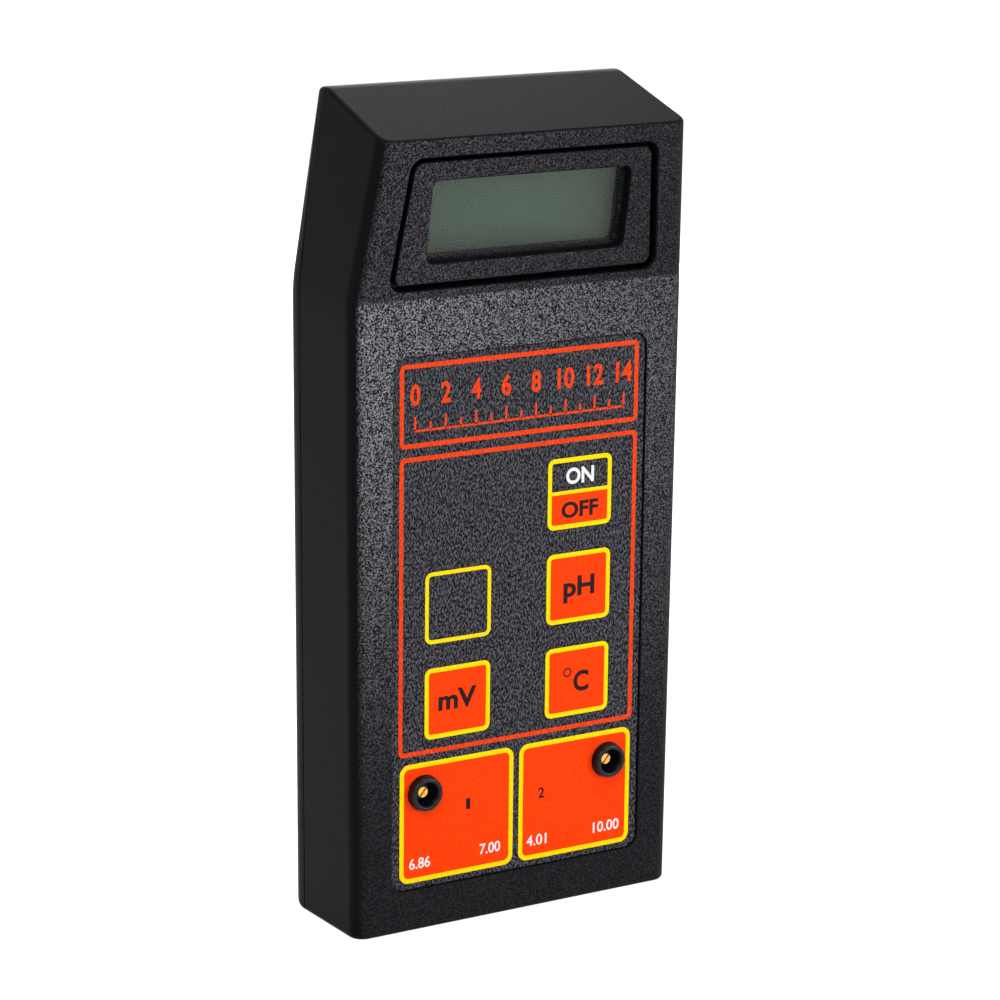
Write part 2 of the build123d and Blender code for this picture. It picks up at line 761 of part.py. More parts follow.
with BuildPart() as contact_strips:
    for side in (-1, 1):
        height = window_middle + side * (lcd_height / 2 - strip_margin - strip_width / 2)
        block(0, height, lcd_width - 2 * strip_margin, strip_width, lcd_back, display_board_front,
              face=head_at)
finish(contact_strips, "contact_strips")

with BuildPart() as display_board:
    block(0, window_middle, 2 * display_board_half, 2 * display_board_rise, display_board_front,
          display_board_back, face=head_at)
    for x, height in display_post_spots:
        disc(x, height, screw_radius + slack, display_board_front, display_board_back, face=head_at,
             mode=Mode.SUBTRACT)
finish(display_board, "display_board")

with BuildPart() as display_screws:
    for x, height in display_post_spots:
        disc(x, height, screw_radius, display_board_front - screw_bite, display_board_back, face=head_at)
        disc(x, height, screw_head_radius, display_board_back, display_board_back + screw_head_height,
             face=head_at)
finish(display_screws, "display_screws")

with BuildPart() as display_ribbon:
    middle = ribbon_thickness / 2
    board_edge = window_middle - display_board_rise
    with BuildSketch(Plane.YZ) as ribbon_side:
        with BuildLine():
            FilletPolyline(head_point(board_edge + ribbon_lap, display_board_back + middle),
                           head_point(board_edge - 2 * ribbon_bend, display_board_back + middle),
                           (board_back_y + middle, board_top + 2 * ribbon_bend),
                           (board_back_y + middle, board_top - ribbon_lap), radius=ribbon_bend)
        trace(line_width=ribbon_thickness)
    extrude(amount=ribbon_width / 2, both=True)
finish(display_ribbon, "display_ribbon")

# Electrode socket with its insulator, contact, washer, nut and lead
with BuildPart() as electrode_socket:
    x = -socket_offset
    disc(x, 0, bnc_flange, -bnc_flange_height, 0, face=socket_at)
    disc(x, 0, bnc_barrel, bnc_tip, 0, face=socket_at)
    disc(x, 0, bnc_neck, 0, bnc_neck_length, face=socket_at)
    lugs = socket_at(bnc_tip + bnc_lug_back).location * Location((x, 0, 0), (0, 90, 0))
    with Locations(lugs):
        Cylinder(bnc_lug_radius, 2 * (bnc_barrel + bnc_lug_height))
    disc(x, 0, bnc_bore, bnc_tip, bnc_bore_back, face=socket_at, mode=Mode.SUBTRACT)
    disc(x, 0, bnc_core, bnc_tip, bnc_neck_length, face=socket_at, mode=Mode.SUBTRACT)
finish(electrode_socket, "electrode_socket")

with BuildPart() as socket_insulator:
    ring(-socket_offset, 0, bnc_core - fit, bnc_pin + fit, pin_tip, bnc_neck_length, face=socket_at)
finish(socket_insulator, "socket_insulator")

with BuildPart() as socket_contact:
    disc(-socket_offset, 0, bnc_pin, pin_tip, pin_end, face=socket_at)
    disc(-socket_offset, 0, bnc_pin_hole, pin_tip, pin_tip + bnc_pin_hole_length, face=socket_at,
         mode=Mode.SUBTRACT)
finish(socket_contact, "socket_contact")

with BuildPart() as socket_washer:
    ring(-socket_offset, 0, bnc_neck + washer_reach, bnc_neck + fit, wall, wall + washer_height,
         face=socket_at)
finish(socket_washer, "socket_washer")

with BuildPart() as socket_nut:
    nut_front = wall + washer_height
    with BuildSketch(socket_at(nut_front)) as hexagon:
        with Locations((-socket_offset, 0)):
            RegularPolygon(nut_flats / 2, 6, major_radius=False)
            Circle(bnc_neck + fit, mode=Mode.SUBTRACT)
    extrude(amount=-nut_height)
finish(socket_nut, "socket_nut")

# Temperature probe jack with its nut
with BuildPart() as probe_jack:
    x = socket_offset
    disc(x, 0, jack_neck, -jack_neck_stand, wall, face=socket_at)
    disc(x, 0, jack_body_radius, wall, jack_body_end, face=socket_at)
    disc(x, 0, jack_bore, -jack_neck_stand, jack_bore_length - jack_neck_stand, face=socket_at,
         mode=Mode.SUBTRACT)
finish(probe_jack, "probe_jack")

with BuildPart() as probe_jack_nut:
    ring(socket_offset, 0, jack_nut_radius, jack_neck + fit, -jack_nut_height, 0, face=socket_at)
finish(probe_jack_nut, "probe_jack_nut")

# Leads from the sockets down to the main board
lead_z = board_top - lead_drop
lead_starts = (("electrode_lead", -socket_offset, pin_end), ("probe_lead", socket_offset, jack_body_end))
for name, x, start in lead_starts:
    with BuildPart() as socket_lead:
        lead([(x, *socket_point(start)), (x, *socket_point(start + lead_bend + lead_straight)),
              (x, lead_offset, lead_z),
              (x, board_back_y, lead_z)], lead_radius, lead_bend)
    finish(socket_lead, name)

# Case screws, driven in from the back
with BuildPart() as case_screws:
    for x, z in case_screw_spots:
        disc(x, z, case_screw_radius, parting_depth - case_screw_bite, head_depth)
        disc(x, z, case_screw_head_radius, head_depth, head_depth + case_screw_head_height)
finish(case_screws, "case_screws")
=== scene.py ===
# %% [markdown]
# A portable pH meter stands upright on its foot, seen a little from the left and from above.
# The meter's solids come from its CAD model, already in place and at their real size. This lesson
# gives them their finishes and adds what a CAD model leaves out: the printing on the keypad, the
# rounded collars of the trimmers, screw heads, a knurled nut and the light of a small studio.

import json
import math

import bmesh
import bpy
from mathutils import Matrix, Vector


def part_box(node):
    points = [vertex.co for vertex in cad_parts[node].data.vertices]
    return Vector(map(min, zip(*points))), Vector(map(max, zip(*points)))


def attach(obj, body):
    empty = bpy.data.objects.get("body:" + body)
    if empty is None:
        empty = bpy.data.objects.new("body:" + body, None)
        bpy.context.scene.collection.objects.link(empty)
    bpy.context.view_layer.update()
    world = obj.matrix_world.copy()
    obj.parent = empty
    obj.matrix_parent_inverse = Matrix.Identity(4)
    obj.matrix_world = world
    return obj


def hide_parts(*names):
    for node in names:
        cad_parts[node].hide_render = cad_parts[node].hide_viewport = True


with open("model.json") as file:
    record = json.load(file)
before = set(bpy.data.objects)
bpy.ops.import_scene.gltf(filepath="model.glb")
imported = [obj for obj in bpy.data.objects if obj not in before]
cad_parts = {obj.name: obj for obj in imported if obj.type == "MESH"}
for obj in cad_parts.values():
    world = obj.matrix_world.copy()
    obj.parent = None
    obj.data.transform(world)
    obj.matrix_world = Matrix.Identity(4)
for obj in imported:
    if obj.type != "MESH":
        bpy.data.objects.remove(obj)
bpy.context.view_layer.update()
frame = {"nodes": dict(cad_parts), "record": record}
nodes = frame["nodes"]

# %% [markdown]
# Everything on a meter is a few millimetres big, and Blender counts in metres, so drawings are made
# in millimetres and shrunk when they are put in place. A matrix lays each drawing on its face of
# the meter, with x to the right, y up the face and z out of it.

# %% Places on the meter
MM = 0.001
BACK_LEAN = math.radians(5.25)

overlay_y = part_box("keypad_overlay")[0].y
back_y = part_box("battery_door")[1].y


def face_matrix(origin, up, outwards):
    """A matrix whose x runs to the right, y along up and z along outwards, from an origin."""
    up, outwards = Vector(up).normalized(), Vector(outwards).normalized()
    return Matrix.Translation(origin) @ Matrix((up.cross(outwards), up, outwards)).transposed().to_4x4()


def on_panel(x=0.0, z=0.0, proud=0.0):
    """A place on the keypad's surface and its height above it, in mm."""
    return face_matrix((x * MM, overlay_y - proud * MM, z * MM), (0, 0, 1), (0, -1, 0))


def on_back(x=0.0, z=0.0, proud=0.0):
    """A place on the flat back of the case and its height above it, in mm."""
    return face_matrix((x * MM, back_y + proud * MM, z * MM), (0, 0, 1), (0, 1, 0))


print("keypad surface at", round(overlay_y / MM, 2), "mm and back at", round(back_y / MM, 2), "mm")

# %% [markdown]
# The photograph was taken with a long lens, from the left and slightly above. This distance, lens
# and aim put the corners of the case and of the printing where the photograph has them.

# %% Camera
AZIMUTH = math.radians(-32.076)
ELEVATION = math.radians(13.556)
ROLL = math.radians(0.654)
CAMERA_DISTANCE = 741.64
AIM = Vector((-5.38, -15.4, 92.40))
SENSOR_WIDTH = 36.0
LENS = 126.72

towards_camera = Vector((math.sin(AZIMUTH) * math.cos(ELEVATION),
                         -math.cos(AZIMUTH) * math.cos(ELEVATION), math.sin(ELEVATION)))
level = Vector((math.cos(AZIMUTH), math.sin(AZIMUTH), 0))
above = towards_camera.cross(level)
right = level * math.cos(ROLL) + above * math.sin(ROLL)
top = above * math.cos(ROLL) - level * math.sin(ROLL)

camera_data = bpy.data.cameras.new("camera")
camera_data.sensor_width = SENSOR_WIDTH
camera_data.lens = LENS
camera_data.clip_start = 0.01
camera = bpy.data.objects.new("camera", camera_data)
camera_place = Matrix.Translation((AIM + towards_camera * CAMERA_DISTANCE) * MM)
camera.matrix_world = camera_place @ Matrix((right, top, towards_camera)).transposed().to_4x4()
bpy.context.scene.collection.objects.link(camera)
bpy.context.scene.camera = camera
bpy.context.scene.view_settings.view_transform = "Standard"
print("camera at", [round(v, 3) for v in camera_place.translation])

# %% [markdown]
# Materials are made of nodes. One helper starts a material, one fills a node's inputs, and one adds
# a node with its settings and its feeds. Roughness and IOR are those of the real substance. The
# specular level of black plastic is set low, because a white studio washes it out. Colours
# are the sRGB hex values that a picture would give, and a pattern's scale comes from its real size.

# %% Helpers for materials


def colour(hex_value):
    """An sRGB hex value as the linear colour that shaders use."""
    channels = [int(hex_value[i:i + 2], 16) / 255 for i in (1, 3, 5)]
    return [c / 12.92 if c <= 0.04045 else ((c + 0.055) / 1.055) ** 2.4 for c in channels] + [1.0]


def across(size):
    """The scale of a pattern on object coordinates whose marks are about size mm across."""
    return 1 / (size * MM)


def feed(tree, node, feeds):
    """Fill a node's inputs, by name or number, with a value, an output or a node's first output."""
    for key, value in feeds.items():
        socket = node.inputs[key] if isinstance(key, int) else next(
            s for s in node.inputs if s.enabled and s.name == key)
        if isinstance(value, bpy.types.Node):
            value = next(s for s in value.outputs if s.enabled)
        if isinstance(value, bpy.types.NodeSocket):
            tree.links.new(value, socket)
        else:
            socket.default_value = value


def add(tree, kind, feeds=None, **settings):
    """Add a node with its settings and its feeds."""
    node = tree.nodes.new("ShaderNode" + kind)
    for key, value in settings.items():
        setattr(node, key, value)
    feed(tree, node, feeds or {})
    return node


def blend(tree, share, dark, light):
    """Two colours mixed by a share. Each is a hex value or a node."""
    dark, light = (colour(c) if isinstance(c, str) else c for c in (dark, light))
    return add(tree, "Mix", {"Factor": share, "A": dark, "B": light}, data_type="RGBA")


def start_material(name, roughness, metallic=0.0, ior=1.5, specular=0.5):
    """Returns a new material, its tree, its Principled shader and the object coordinates."""
    material = bpy.data.materials.new(name)
    material.use_nodes = True
    tree = material.node_tree
    shader = tree.nodes["Principled BSDF"]
    feed(tree, shader, {"Roughness": roughness, "Metallic": metallic, "IOR": ior,
                        "Specular IOR Level": specular})
    return material, tree, shader, add(tree, "TexCoord").outputs["Object"]


print("red ink as linear numbers", [round(c, 3) for c in colour("#FF4A0A")])

# %% [markdown]
# The case is black ABS, moulded in two shells. The mould was etched, so the front and the back carry
# a pebbled grain of about 0.35 mm, while the sides, which slide along the mould, are plain. The
# grain is noise, and the way a face looks decides how much of it shows. Front pebbles have lighter
# tips, as in the photograph, and their lightness is painted sheen: brightest under the crease and to
# the left. The head's darker tips are painted shade.

# %% Case plastic
BODY_GRAIN = 0.34
HEAD_GRAIN = 0.36
SIDE_GRAIN = 0.4
FOOT_HEIGHT = 15.0
CREASE_HEIGHT = 137.0
CREASE_BLUR = 0.25
HALF_WIDTH = 40.0
SEAM_CLEARANCE = (-8.0, -10.0)
STEEP, SQUARE = 0.72, 0.94


def etched_plastic(name, head_only=False):
    """Etched black ABS: pebbled front and back, plain sides; painted sheen on the front, painted shade on
    the head.
    """
    material, tree, shader, place = start_material(name, 0.5, ior=1.53, specular=0.03)
    normal = add(tree, "NewGeometry").outputs["Normal"]
    facing = add(tree, "VectorMath", {0: normal, 1: (0, -1, 0)}, operation="DOT_PRODUCT")
    forwards = facing.outputs["Value"]
    faces_front = add(tree, "MapRange", {"Value": forwards, "From Min": STEEP, "From Max": SQUARE})
    rear = add(tree, "MapRange", {"Value": forwards, "From Min": -STEEP, "From Max": -SQUARE})
    split = add(tree, "SeparateXYZ", {"Vector": place})
    near, far = (y * MM for y in SEAM_CLEARANCE)
    ahead_of_seam = add(tree, "MapRange", {"Value": split.outputs["Y"], "From Min": near, "From Max": far})
    front = add(tree, "Math", {0: faces_front, 1: ahead_of_seam}, operation="MULTIPLY")
    height = split.outputs["Z"]
    # Painted sheen: the light tips fade from the left of the case to the right.
    painted_sheen_fade = add(tree, "MapRange", {"Value": split.outputs["X"], "From Min": -HALF_WIDTH * MM,
                                  "From Max": HALF_WIDTH * MM, "To Min": 1.0, "To Max": 0.45})
    head = add(tree, "MapRange", {"Value": height, "From Min": (CREASE_HEIGHT - CREASE_BLUR) * MM,
                                  "From Max": (CREASE_HEIGHT + CREASE_BLUR) * MM})
    # Painted sheen: the light tips grow from the foot up to the crease.
    painted_sheen_rise = add(tree, "MapRange", {"Value": height, "From Min": FOOT_HEIGHT * MM,
                                   "From Max": CREASE_HEIGHT * MM}, interpolation_type="SMOOTHSTEP")
    pebbles = add(tree, "TexNoise", {"Vector": place, "Scale": across(HEAD_GRAIN), "Detail": 1.5})
    if not head_only:
        body_noise = add(tree, "TexNoise", {"Vector": place, "Scale": across(BODY_GRAIN), "Detail": 1.5})
        pebbles = add(tree, "Mix", {"Factor": head, "A": body_noise, "B": pebbles})
    side_noise = add(tree, "TexNoise", {"Vector": place, "Scale": across(SIDE_GRAIN), "Detail": 1.0})
    grain = add(tree, "Mix", {"Factor": front, "A": side_noise, "B": pebbles})
    speckle = add(tree, "MapRange", {"Value": grain, "From Min": 0.44, "From Max": 0.64})
    # How far the painted sheen reaches at each point of the front.
    reach = add(tree, "Math", {0: painted_sheen_rise, 1: painted_sheen_fade}, operation="MULTIPLY")
    # Painted sheen on the body's pebble tips, lightest where it reaches furthest.
    sheen_lit_body_tips = blend(tree, reach, "#28282C", "#8E8F95")
    # Painted shade darkens the head's pebble tips, and the painted sheen fades on them to the right.
    shaded_head_tips = blend(tree, painted_sheen_fade, "#0E0E10", "#4E4E55")
    pebbled = blend(tree, speckle, "#0E0E11", blend(tree, head, sheen_lit_body_tips, shaded_head_tips))
    plain = blend(tree, rear, "#0A0A0B", blend(tree, speckle, "#151517", "#2E2E32"))
    gloss = add(tree, "MapRange", {"Value": grain, "To Min": 0.36, "To Max": 0.6})
    depth = add(tree, "MapRange", {"Value": front, "To Min": 0.01 * MM, "To Max": 0.12 * MM})
    bump = add(tree, "Bump", {"Height": grain, "Strength": 1.0, "Distance": depth})
    skin = blend(tree, front, plain, pebbled)
    feed(tree, shader, {"Base Color": skin, "Roughness": gloss, "Normal": bump})
    return material


case_abs = etched_plastic("etched_black_abs")
# The bezel takes only the head's tips, with their painted shade and fading painted sheen.
bezel_abs = etched_plastic("etched_black_abs_bezel", head_only=True)
print("made", case_abs.name, "and", bezel_abs.name)

# %% [markdown]
# Most other finishes are one substance with one grain, whose colour, gloss and height follow the
# same noise. The list gives each its two colours, roughness, grain in mm, height in mm, specular
# level and whether it is a metal. Metals keep the default IOR.

# %% Plain finishes
PLAIN_FINISHES = {
    "door_plastic": ("fine_etched_black_abs", "#131315", "#2A2A2E", 0.5, 0.4, 0.03, 0.05, 0),
    "bush_plastic": ("polished_black_acetal", "#0A0A0B", "#101011", 0.3, 0.8, 0.003, 0.2, 0),
    "circuit_film": ("printed_polyester_film", "#B9BDB4", "#CDD0C8", 0.35, 1.2, 0.005, 0.5, 0),
    "dome_steel": ("stamped_spring_steel", "#B8B6B0", "#CFCDC8", 0.25, 0.5, 0.004, 0.5, 1),
    "flex_film": ("amber_polyimide_film", "#A9660F", "#C47F1C", 0.3, 2.0, 0.004, 0.5, 0),
    "connector_plastic": ("ivory_nylon", "#DCD5BF", "#E8E2D0", 0.45, 0.8, 0.01, 0.5, 0),
    "trimmer_plastic": ("blue_thermoplastic", "#1F4F96", "#2B62AE", 0.4, 0.6, 0.008, 0.5, 0),
    "brass": ("turned_brass", "#C98F3A", "#E9BE62", 0.22, 0.25, 0.004, 0.5, 1),
    "screw_steel": ("zinc_plated_steel", "#A9ABAC", "#C6C8C9", 0.3, 0.4, 0.004, 0.5, 1),
    "black_screw_steel": ("black_oxide_steel", "#1C1C1D", "#2A2A2B", 0.38, 0.5, 0.005, 0.5, 1),
    "chip_epoxy": ("moulded_black_epoxy", "#161617", "#222223", 0.6, 0.3, 0.01, 0.4, 0),
    "capacitor_sleeve": ("dark_blue_pvc_sleeve", "#131A2B", "#1B2540", 0.35, 1.5, 0.004, 0.5, 0),
    "carrier_plastic": ("white_polycarbonate", "#D2D1CA", "#DEDDD7", 0.45, 0.8, 0.006, 0.5, 0),
    "pad_foam": ("grey_polyether_foam", "#2A2B2D", "#4A4B4E", 0.9, 0.35, 0.08, 0.2, 0),
    "battery_can": ("lacquered_steel_can", "#22364F", "#2A4262", 0.32, 3.0, 0.004, 0.5, 0),
    "snap_plastic": ("black_polypropylene", "#141415", "#1E1E20", 0.45, 0.7, 0.006, 0.4, 0),
    "nickel": ("nickel_plated_brass", "#B9B5AC", "#D3CFC6", 0.22, 0.5, 0.003, 0.5, 1),
    "insulator": ("white_ptfe", "#E2DFD6", "#EEECE5", 0.5, 0.8, 0.004, 0.4, 0),
    "contact_gold": ("gold_plated_contact", "#D9A93C", "#F0C75A", 0.2, 0.3, 0.002, 0.5, 1),
    "lead_black": ("black_pvc_insulation", "#121213", "#1C1C1D", 0.5, 0.9, 0.005, 0.4, 0),
    "lead_red": ("red_pvc_insulation", "#A81414", "#BE1E1A", 0.5, 0.9, 0.005, 0.4, 0),
}


def plain_finish(name, dark, light, roughness, size, height, specular, metal):
    """One substance with one grain of size mm that stands height mm high."""
    material, tree, shader, place = start_material(name, roughness, metal, specular=specular)
    noise = add(tree, "TexNoise", {"Vector": place, "Scale": across(size), "Detail": 2.0})
    share = add(tree, "MapRange", {"Value": noise, "From Min": 0.35, "From Max": 0.65})
    shade = blend(tree, share, dark, light)
    gloss = add(tree, "MapRange", {"Value": noise, "To Min": roughness - 0.08,
                                   "To Max": roughness + 0.08})
    bump = add(tree, "Bump", {"Height": noise, "Strength": 1.0, "Distance": height * MM})
    feed(tree, shader, {"Base Color": shade, "Roughness": gloss, "Normal": bump})
    return material


finishes = {slot: plain_finish(*numbers) for slot, numbers in PLAIN_FINISHES.items()}
finishes["case_plastic"] = case_abs
finishes["bezel_plastic"] = bezel_abs
print("made", len(PLAIN_FINISHES), "plain finishes")

# %% [markdown]
# The keypad is a polyester film, printed from behind and embossed with a fine leathery grain that
# runs a little across it. Stretching the noise along one diagonal gives that run. The inks share
# the emboss, because in the real film they lie under it.

# %% Keypad film and its inks
EMBOSS_SIZE = 0.36
EMBOSS_TURN = math.radians(35)
EMBOSS_STRETCH = 0.55


def embossed(name, dark, light, roughness, depth, specular):
    """Polyester film with a leathery emboss, in the colour of the ink behind it."""
    material, tree, shader, place = start_material(name, roughness, ior=1.6, specular=specular)
    run = add(tree, "Mapping", {"Vector": place, "Rotation": (0, EMBOSS_TURN, 0),
                                "Scale": (1, 1, EMBOSS_STRETCH)})
    noise = add(tree, "TexNoise", {"Vector": run, "Scale": across(EMBOSS_SIZE), "Detail": 1.0})
    share = add(tree, "MapRange", {"Value": noise, "From Min": 0.42, "From Max": 0.68})
    shade = blend(tree, share, dark, light)
    gloss = add(tree, "MapRange", {"Value": noise, "To Min": roughness - 0.1,
                                   "To Max": roughness + 0.1})
    bump = add(tree, "Bump", {"Height": noise, "Strength": 1.0, "Distance": depth * MM})
    feed(tree, shader, {"Base Color": shade, "Roughness": gloss, "Normal": bump})
    return material


finishes["overlay_film"] = embossed("embossed_polyester_film", "#0A0A0D", "#5C5C64", 0.48, 0.15, 0.03)
orange_ink = embossed("orange_screen_ink", "#F83800", "#FF4600", 0.5, 0.03, 0.04)
line_ink = embossed("vermilion_screen_ink", "#D8380C", "#F04C18", 0.5, 0.03, 0.04)
yellow_ink = embossed("yellow_screen_ink", "#EED000", "#FAE000", 0.5, 0.02, 0.04)
white_ink = embossed("white_screen_ink", "#E0E0E0", "#F0F0F0", 0.5, 0.02, 0.04)
black_ink = embossed("black_screen_ink", "#160C10", "#221418", 0.5, 0.02, 0.06)
print("made the film and five inks")

# %% [markdown]
# The display has three finishes of its own: clear acrylic, the grey-green glass of a blank liquid
# crystal panel, with painted shade that darkens it a little to the right and at its foot, and the
# striped rubber that carries its contacts. The pane's IOR is 1.2, less than acrylic's 1.49, set so
# that the white studio mirrored in it doesn't hide the display. The rubber's stripes are drawn
# coarser than real ones.

# %% Display finishes
STRIPE_SCALE = 100.0
WAVE_SIZE = 9.0
CLOUD_SIZE = 16.0
CLOTH_SIZE = 0.5
FAINT = 0.005
FOOT_SHADE = (4.0, 10.0)


def clear_acrylic():
    """A polished pane: it bends light, and faint waves from moulding keep it from being perfect."""
    material, tree, shader, place = start_material("polished_clear_acrylic", 0.03, ior=1.2)
    waves = add(tree, "TexNoise", {"Vector": place, "Scale": across(WAVE_SIZE), "Detail": 1.0})
    gloss = add(tree, "MapRange", {"Value": waves, "To Min": 0.0, "To Max": 0.01})
    bump = add(tree, "Bump", {"Height": waves, "Strength": 0.05, "Distance": FAINT * MM})
    feed(tree, shader, {"Base Color": colour("#F2F6F3"), "Transmission Weight": 1.0, "Roughness": gloss,
                        "Normal": bump})
    return material


def blank_display():
    """Liquid crystal glass that shows nothing: grey-green, with soft painted shade to the right and the
    foot.
    """
    material, tree, shader, place = start_material("liquid_crystal_glass", 0.35, ior=1.52, specular=0.1)
    low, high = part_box("lcd_panel")
    split = add(tree, "SeparateXYZ", {"Vector": place})
    # Painted shade: darker towards the right of the glass and towards its foot.
    sideways = add(tree, "MapRange", {"Value": split.outputs["X"], "From Min": 0.0, "From Max": high.x},
                   interpolation_type="SMOOTHSTEP")
    foot = add(tree, "MapRange", {"Value": split.outputs["Z"], "From Min": low.z + FOOT_SHADE[0] * MM,
                                  "From Max": low.z + FOOT_SHADE[1] * MM, "To Min": 1.0, "To Max": 0.0},
               interpolation_type="SMOOTHSTEP")
    cloud = add(tree, "TexNoise", {"Vector": place, "Scale": across(CLOUD_SIZE), "Detail": 1.0})
    shaded = add(tree, "Math", {0: sideways, 1: foot}, operation="MAXIMUM")
    soft = add(tree, "Math", {0: shaded, 1: cloud}, operation="MULTIPLY")
    bump = add(tree, "Bump", {"Height": cloud, "Strength": 0.05, "Distance": FAINT * MM})
    # The painted shade turns the grey-green darker.
    feed(tree, shader, {"Base Color": blend(tree, soft, "#415045", "#262C27"), "Normal": bump})
    return material


def striped_rubber():
    """Silicone with black conducting stripes across it."""
    material, tree, shader, place = start_material("striped_contact_rubber", 0.6, ior=1.42, specular=0.3)
    stripes = add(tree, "TexWave", {"Vector": place, "Scale": STRIPE_SCALE, "Distortion": 0.0},
                  bands_direction="X").outputs["Fac"]
    bump = add(tree, "Bump", {"Height": stripes, "Strength": 0.5, "Distance": 0.02 * MM})
    feed(tree, shader, {"Base Color": blend(tree, stripes, "#1A1A1B", "#C98F8A"), "Normal": bump})
    return material


def solder_mask():
    """Green lacquer on a glass-fibre board, whose cloth shows through as a faint 0.5 mm weave."""
    material, tree, shader, place = start_material("green_solder_mask", 0.35, ior=1.55)
    cloth = add(tree, "TexVoronoi", {"Vector": place, "Scale": across(CLOTH_SIZE)})
    bump = add(tree, "Bump", {"Height": cloth, "Strength": 0.4, "Distance": 0.01 * MM})
    feed(tree, shader, {"Base Color": blend(tree, cloth, "#124526", "#1D5E36"), "Normal": bump})
    return material


finishes["window_acrylic"] = clear_acrylic()
finishes["lcd_glass"] = blank_display()
finishes["strip_rubber"] = striped_rubber()
finishes["board_laminate"] = solder_mask()
display_heights = [round(corner.z / MM, 1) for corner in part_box("lcd_panel")]
print("display stands between heights", display_heights, "mm")

# %% [markdown]
# The record says which material slot each CAD piece takes, so one loop gives every piece its
# finish.

# %% Finishes on the CAD pieces
for part in frame["record"]["subparts"]:
    mesh = nodes[part["node"]].data
    mesh.materials.clear()
    mesh.materials.append(finishes[part["material_slot"]])

# %% [markdown]
# New pieces are made with bmesh, in millimetres round their own middle, and then put in place. A
# print is a film of ink a few hundredths of a millimetre thick: a flat outline with rounded corners,
# made solid. Its back is sunk a hair into what carries it, so that no gap shows.

# %% Helpers for pieces
INK = 0.03
INK_SINK = 0.01
CORNER_STEPS = 6
SHARP_ANGLE = math.radians(35)


def keep(name, bm, place, material, body="case"):
    """Put a finished shape in its place, as a new piece that rides on a body."""
    bmesh.ops.transform(bm, matrix=place @ Matrix.Scale(MM, 4), verts=bm.verts)
    bmesh.ops.recalc_face_normals(bm, faces=bm.faces)
    mesh = bpy.data.meshes.new(name)
    bm.to_mesh(mesh)
    bm.free()
    mesh.shade_smooth()
    mesh.set_sharp_from_angle(angle=SHARP_ANGLE)
    mesh.materials.append(material)
    piece = bpy.data.objects.new(name, mesh)
    bpy.context.scene.collection.objects.link(piece)
    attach(piece, body)
    print(name, len(mesh.polygons), "faces")
    return piece


def rounded(bm, width, height, corner):
    """One flat face with rounded corners."""
    corners = bmesh.ops.create_grid(bm, x_segments=1, y_segments=1, size=0.5)["verts"]
    bmesh.ops.scale(bm, vec=(width, height, 1), verts=corners)
    bmesh.ops.bevel(bm, geom=corners, offset=corner, offset_type="OFFSET", affect="VERTICES",
                    segments=CORNER_STEPS, profile=0.5, material=-1)


def thicken(bm, thickness=INK):
    """Make flat faces solid, with their back a hair below zero."""
    bmesh.ops.recalc_face_normals(bm, faces=bm.faces)
    bmesh.ops.solidify(bm, geom=bm.faces[:], thickness=thickness + INK_SINK)
    lowest = min(v.co.z for v in bm.verts)
    bmesh.ops.translate(bm, vec=(0, 0, -lowest - INK_SINK), verts=bm.verts)
    return bm


def hollow(bm, line, thickness=INK):
    """Leave only a line of one width along the edge of a flat shape, and make it solid."""
    line_faces = bmesh.ops.inset_region(bm, faces=bm.faces[:], thickness=line, use_boundary=True,
                                        use_even_offset=True)["faces"]
    bmesh.ops.delete(bm, geom=[face for face in bm.faces if face not in line_faces], context="FACES")
    return thicken(bm, thickness)


def print_border(width, height, corner, line):
    """A rounded frame of one line width."""
    bm = bmesh.new()
    rounded(bm, width, height, corner)
    return hollow(bm, line)


def print_block(width, height, corner, hole=None):
    """A rounded block of ink, with a round hole (x, y, radius) where something comes through it."""
    bm = bmesh.new()
    rounded(bm, width, height, corner)
    if hole:
        x, y, radius = hole
        bmesh.ops.delete(bm, geom=bm.faces[:], context="FACES_ONLY")
        bmesh.ops.create_circle(bm, cap_ends=False, radius=radius, segments=64,
                                matrix=Matrix.Translation((x, y, 0)))
        bmesh.ops.triangle_fill(bm, use_beauty=True, edges=bm.edges[:], normal=(0, 0, 1))
    return thicken(bm)


def print_bars(bars):
    """Straight bars of ink, each (x, y, width, height)."""
    bm = bmesh.new()
    for x, y, width, height in bars:
        place = Matrix.Translation((x, y, 0)) @ Matrix.Diagonal((width, height, 1, 1))
        bmesh.ops.create_grid(bm, x_segments=1, y_segments=1, size=0.5, matrix=place)
    return thicken(bm)


def print_words(text, width, height, weight=0.03, base=0.0):
    """Lettering that fills a width and a height, made heavier by weight, on a base in mm."""
    letters = bpy.data.curves.new("letters", "FONT")
    letters.body = text
    letters.offset = weight
    letters.extrude = 0.5
    letters.resolution_u = 5
    holder = bpy.data.objects.new("letters", letters)
    mesh = bpy.data.meshes.new_from_object(holder)
    bm = bmesh.new()
    bm.from_mesh(mesh)
    bpy.data.objects.remove(holder)
    bpy.data.curves.remove(letters)
    bpy.data.meshes.remove(mesh)
    bmesh.ops.remove_doubles(bm, verts=bm.verts, dist=1e-5)
    low = [min(v.co[i] for v in bm.verts) for i in range(3)]
    high = [max(v.co[i] for v in bm.verts) for i in range(3)]
    bmesh.ops.translate(bm, vec=[-(a + b) / 2 for a, b in zip(low, high)], verts=bm.verts)
    size = (width / (high[0] - low[0]), height / (high[1] - low[1]), INK + INK_SINK)
    bmesh.ops.scale(bm, vec=size, verts=bm.verts)
    bmesh.ops.translate(bm, vec=(0, 0, base + (INK - INK_SINK) / 2), verts=bm.verts)
    return bm


print("ink is", INK, "mm thick")

# %% [markdown]
# The film is divided by vermilion lines: a strip at the top, which holds a plain number scale from
# 0 to 14, and the field with the keys. One square in the field is printed and has no key behind it.

